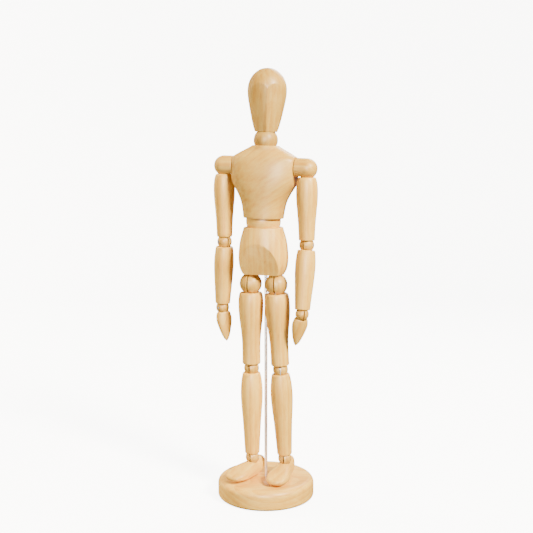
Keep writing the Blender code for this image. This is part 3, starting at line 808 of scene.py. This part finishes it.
def add_waist():
    """The waist ball and its spring."""
    finish = wood("waist_ball_wood", 9, grain=(0.0, 90.0, 0.0), tone=0.97, rings=1.3)
    ball_with_bore("waist_ball", WAIST_RADIUS, WAIST_CUT, chest_frame(WAIST_CENTRE), finish)
    low, high = WAIST_SPRING
    mesh = spring_mesh("spring", low - WAIST_CENTRE, high - WAIST_CENTRE)
    add_piece("waist_spring", mesh, chest_frame(WAIST_CENTRE), steel("waist_spring_steel", 4))


def add_chest():
    """Carved rib block: flat sides for the shoulders, a domed top, and bores for the three springs."""
    frame = chest_frame(WAIST_CENTRE)
    rings = []
    for height, wide, deep in flowing(CHEST_RINGS):
        ring = superellipse(wide, deep, height - WAIST_CENTRE, CHEST_SQUARE, CARVED)
        rings.append([(max(-CHEST_HALF, min(CHEST_HALF, x)), y, z) for x, y, z in ring])
    mesh = loft("chest", rings, (0, 0, rings[0][0][2]), (0, 0, rings[-1][0][2]))
    across = turned(chest_frame(SHOULDER_HEIGHT), 90, "Y")
    low_bore = WAIST_SPRING[1] - WAIST_CENTRE + GAP + WIRE_RADIUS
    neck_bore = NECK_SPRING[0] - NECK_CENTRE - GAP - WIRE_RADIUS
    tools = [
        tool(sphere_mesh(WAIST_RADIUS + GAP), frame),
        tool(rod_mesh("bore", SPRING_BORE, 0, low_bore), frame),
        tool(sphere_mesh(NECK_RADIUS + GAP), neck_frame()),
        tool(rod_mesh("bore", SPRING_BORE, neck_bore, 0), neck_frame()),
        tool(rod_mesh("bore", SPRING_BORE, -CUT_WIDTH, CUT_WIDTH), across),
    ]
    grain = (34.0, -50.0, 0.0)
    finish = wood("chest_wood", 7, grain=grain, tone=0.82, figure=3.0, rings=0.6, ring_weight=0.06)
    add_piece("chest", mesh, frame, finish, tools)
    spring = spring_mesh("spring", -SHOULDER_SPRING, SHOULDER_SPRING)
    add_piece("shoulder_spring", spring, across, steel("shoulder_spring_steel", 6))


def add_neck_and_head():
    """The neck ball, its spring, and the head with the two flats of its face."""
    finish = wood("neck_ball_wood", 11, tone=0.6)
    ball_with_bore("neck_ball", NECK_RADIUS, NECK_CUT, neck_frame(), finish)
    low, high = NECK_SPRING
    mesh = spring_mesh("spring", low - NECK_CENTRE, high - NECK_CENTRE)
    add_piece("neck_spring", mesh, neck_frame(), steel("neck_spring_steel", 8))
    frame = neck_frame(HEAD_YAW)
    seat = NECK_RADIUS + GAP
    rim = HEAD_PROFILE[0][1] - NECK_CENTRE
    bore_top = high + GAP + WIRE_RADIUS - NECK_CENTRE
    profile = [(0, bore_top), (SPRING_BORE, bore_top)]
    profile += arc(0, seat, SPRING_BORE, math.sqrt(seat * seat - rim * rim), 1)
    outline = HEAD_PROFILE + ((0, HEAD_TOP),)
    side = flowing([(radius, height - NECK_CENTRE) for radius, height in outline])
    tools = []
    turn, lean = math.radians(FACE_TURN), math.radians(FACE_LEAN)
    for sign in (-1, 1):
        normal = (sign * math.sin(turn) * math.cos(lean), -math.cos(turn) * math.cos(lean), -math.sin(lean))
        point = (sign * FACE_DEPTH * math.sin(turn), -FACE_DEPTH * math.cos(turn), FACE_HEIGHT - NECK_CENTRE)
        tools.append(half_space(normal, point, frame))
    add_piece("head", lathe("head", profile + side, CARVED), frame, wood("head_wood", 13, tone=0.68), tools)


def add_shoulder(joint, side, seed):
    """A barrel with a round outer end, cut flat below its inner half, and the arm's slot and pin."""
    frame = shoulder_frame(side)
    radius = SHOULDER_RADIUS
    inner = CHEST_HALF + GAP - SHOULDER_SPREAD
    flat = ARM_RIM - ARM_PLAY
    bottom = SHOULDER_SPRING - SHOULDER_SPREAD + GAP + WIRE_RADIUS
    profile = [(bottom, 0), (bottom, SPRING_BORE), (inner, SPRING_BORE), (inner, radius - 0.5)]
    profile += [(inner + 0.15, radius - 0.15), (inner + 0.5, radius)]
    profile += [
        (inner + 0.5 - (inner + 0.5) * step / BARREL_STEPS, radius) for step in range(1, BARREL_STEPS + 1)
    ]
    turns = [math.pi / 2 * step / BARREL_END_STEPS for step in range(1, BARREL_END_STEPS)]
    profile += [(radius * math.sin(turn), radius * math.cos(turn)) for turn in turns]
    rings = []
    for off, wide in profile[1:]:
        ring = []
        for y, z, _ in circle(wide, 0, ROUND):
            ball_floor = math.sqrt(max(radius * radius - off * off - y * y, 0))
            ring.append((off, y, max(z, -max(flat, ball_floor)) if off < 0 else z))
        rings.append(ring)
    mesh = loft("shoulder", rings, (profile[0][0], 0, 0), (radius, 0, 0))
    half, thick, _, _ = tongue_sizes(radius)
    slot = thick / 2 + SLOT_PLAY
    reach = half + GAP
    opening = tool(box_mesh("slot", (-reach, -slot, -2 * radius), (2 * radius, slot, reach)), frame)
    hole = turned(frame, 90, "Z")
    finish = wood(joint + "_ball_wood", seed, grain=(0.0, 90.0, 0.0), tone=0.85)
    plug = radius - SHOULDER_PLUG
    inside = tool(rod_mesh("hole", tongue_sizes(radius)[3] + PIN_PLAY, -plug, plug), turned(hole, 90, "Y"))
    add_piece(joint + "_ball", mesh, frame, finish, (opening, inside))
    add_pin(joint, radius, hole, seed, SHOULDER_PLUG)
    return frame


def add_hand(name, joint, frame, roll, seed):
    """A flat leaf-shaped hand."""
    rows = flowing(tuple(reversed(HAND_SLICES)))
    rings = [superellipse(wide, thick, -depth, HAND_SQUARE, ROUND) for depth, wide, thick in rows]
    mesh = loft(name, rings, (0, 0, -HAND_TIP), (0, 0, -HAND_SLICES[0][0]))
    mesh.transform(Matrix.Rotation(math.radians(roll), 4, "Z"))
    tools = (tool(sphere_mesh(WRIST[0] + GAP), frame), tail_cut(WRIST[0], frame))
    add_piece(name, mesh, frame, wood(name + "_wood", seed), tools)
    add_tongue(joint, WRIST[0], frame, seed)


def sole_height(distance):
    """Height of the underside: round about the ankle at the heel, and gently risen towards the toe."""
    if distance < 0:
        return -math.sqrt(SOLE * SOLE - distance * distance)
    return ROCKER - SOLE - math.sqrt(ROCKER * ROCKER - distance * distance)


def add_foot(name, joint, frame, toe_turn, seed):
    """A shoe-shaped foot with a round heel and a raised seat under the ankle."""
    rings = []
    for along_foot, wide, top in flowing(FOOT_SLICES):
        sole = sole_height(along_foot)
        ring = superellipse(wide, (top - sole) / 2, 0, FOOT_SQUARE, ROUND)
        rings.append([(x, -along_foot, (top + sole) / 2 + z) for x, z, _ in ring])
    mesh = loft(name, rings, (0, -HEEL_END[0], HEEL_END[1]), (0, -TOE_END[0], TOE_END[1]))
    mesh.transform(Matrix.Rotation(math.radians(toe_turn), 4, "Z"))
    tools = (tool(sphere_mesh(ANKLE[0] + GAP), frame), tail_cut(ANKLE[0], frame))
    add_piece(name, mesh, frame, wood(name + "_wood", seed, grain=(90.0, 0.0, 0.0), tone=0.98), tools)
    add_tongue(joint, ANKLE[0], frame, seed)


def add_arm(side):
    """One arm from the shoulder barrel to the hand; side is 0 for the right and 1 for the left."""
    name = ("right_", "left_")[side]
    seed = 20 + 10 * side
    outward = add_shoulder(name + "shoulder", side, seed)
    plate = turned(turned(outward, -ARM_HANG[side], "Y"), 90, "Z")
    arm = turned(plate, (90, -90)[side], "Z")
    reach = ARM_REACHES[side]
    upper = (SHOULDER_RADIUS, ARM_RIM)
    add_limb(name + "upper_arm", name + "shoulder", UPPER_ARM, upper, ELBOW, reach, arm, seed + 1, plate)
    elbow = turned(along(arm, reach), ELBOW_TURN[side], "Z")
    add_knuckle(name + "elbow", ELBOW, elbow, seed + 2)
    forearm = turned(elbow, -ELBOW_BEND[side], "X")
    add_limb(name + "forearm", name + "elbow", FOREARM, ELBOW, WRIST, FOREARM_REACH, forearm, seed + 3)
    wrist = turned(along(forearm, FOREARM_REACH), WRIST_TURN[side], "Z")
    add_knuckle(name + "wrist", WRIST, wrist, seed + 4)
    add_hand(name + "hand", name + "wrist", turned(wrist, -WRIST_BEND[side], "X"), HAND_ROLL[side], seed + 5)


def add_leg(side):
    """One leg from the hip ball to the foot."""
    name = ("right_", "left_")[side]
    seed = 40 + 10 * side
    hip = hip_frame(side)
    add_knuckle(name + "hip", HIP, hip, seed)
    thigh = turned(hip, -HIP_BEND[side], "X")
    add_limb(name + "thigh", name + "hip", THIGH, HIP, KNEE, THIGH_REACH, thigh, seed + 1)
    knee = turned(along(thigh, THIGH_REACH), KNEE_TURN[side], "Z")
    add_knuckle(name + "knee", KNEE, knee, seed + 2)
    add_limb(name + "shin", name + "knee", SHIN, KNEE, ANKLE, SHIN_REACH, knee, seed + 3)
    ankle = turned(along(knee, SHIN_REACH), ANKLE_TURN[side], "Z")
    add_knuckle(name + "ankle", ANKLE, ankle, seed + 4)
    add_foot(name + "foot", name + "ankle", ankle, TOE_TURN[side], seed + 5)


# Studio

def add_backdrop():
    """White paper that lies flat under the figure and sweeps up behind it."""
    line = [(PAPER_FRONT, 0.0), (PAPER_BACK, 0.0)]
    for step in range(1, SWEEP_STEPS + 1):
        turn = math.pi / 2 * step / SWEEP_STEPS
        line.append((PAPER_BACK + PAPER_BEND * math.sin(turn), PAPER_BEND * (1 - math.cos(turn))))
    line.append((PAPER_BACK + PAPER_BEND, PAPER_HEIGHT))
    points = [(x * MM, y * MM, z * MM) for y, z in line for x in (-PAPER_HALF_WIDTH, PAPER_HALF_WIDTH)]
    faces = [(2 * step, 2 * step + 1, 2 * step + 3, 2 * step + 2) for step in range(len(line) - 1)]
    mesh = bpy.data.meshes.new("backdrop")
    mesh.from_pydata(points, [], faces)
    for face in mesh.polygons:
        face.use_smooth = True
    mesh.materials.append(backdrop_material())
    paper = bpy.data.objects.new("backdrop", mesh)
    bpy.context.scene.collection.objects.link(paper)
    paper.visible_diffuse = False
    paper.visible_glossy = False


def add_light(name, spot, size, power, colour, lit=True, mirrored=True):
    """A round soft light aimed at the figure; it can be told to only reflect, or never to be reflected."""
    light = bpy.data.lights.new(name, "AREA")
    light.shape = "DISK"
    light.size = size * MM
    light.energy = power
    light.color = colour
    obj = bpy.data.objects.new(name, light)
    bpy.context.scene.collection.objects.link(obj)
    obj.location = Vector(spot) * MM
    aim = Vector((0, 0, AIM_HEIGHT)) * MM - obj.location
    obj.rotation_euler = aim.to_track_quat("-Z", "Y").to_euler()
    obj.visible_diffuse = lit
    obj.visible_glossy = mirrored


def add_sky():
    """Even light from all round, stronger from above."""
    world = bpy.data.worlds.new("studio")
    world.use_nodes = True
    sky = world.node_tree.nodes["Background"]
    sky.inputs["Color"].default_value = SKY_COLOUR
    spot = node(world.node_tree, "ShaderNodeTexCoord").outputs["Generated"]
    height = node(world.node_tree, "ShaderNodeSeparateXYZ", {"Vector": spot}).outputs["Z"]
    strength = node(world.node_tree, "ShaderNodeMapRange", {
        "Value": height, "From Min": -0.5, "From Max": 0.5, "To Min": SKY_BELOW, "To Max": SKY_ABOVE,
    }).outputs[0]
    world.node_tree.links.new(strength, sky.inputs["Strength"])
    bpy.context.scene.world = world


def add_camera():
    """The camera at the photograph's height and angle."""
    camera = bpy.data.cameras.new("camera")
    camera.lens = CAMERA_LENS
    camera.clip_start = 0.01
    obj = bpy.data.objects.new("camera", camera)
    bpy.context.scene.collection.objects.link(obj)
    obj.location = Vector(CAMERA_PLACE) * MM
    obj.rotation_euler = (math.radians(90 - CAMERA_PITCH), 0, 0)
    bpy.context.scene.camera = obj


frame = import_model()
for body, members in frame["record"]["behaviour"]["bodies"].items():
    BODY_OF.update({member: body for member in members})
add_stand()
add_pelvis()
add_waist()
add_chest()
add_neck_and_head()
for side in (0, 1):
    add_arm(side)
    add_leg(side)
add_backdrop()
add_light("key", *KEY)
add_light("fill", *FILL, mirrored=False)
add_light("back", *BACK)
add_light("card", *CARD, lit=False)
add_light("low", *LOW, mirrored=False)
add_sky()
add_camera()
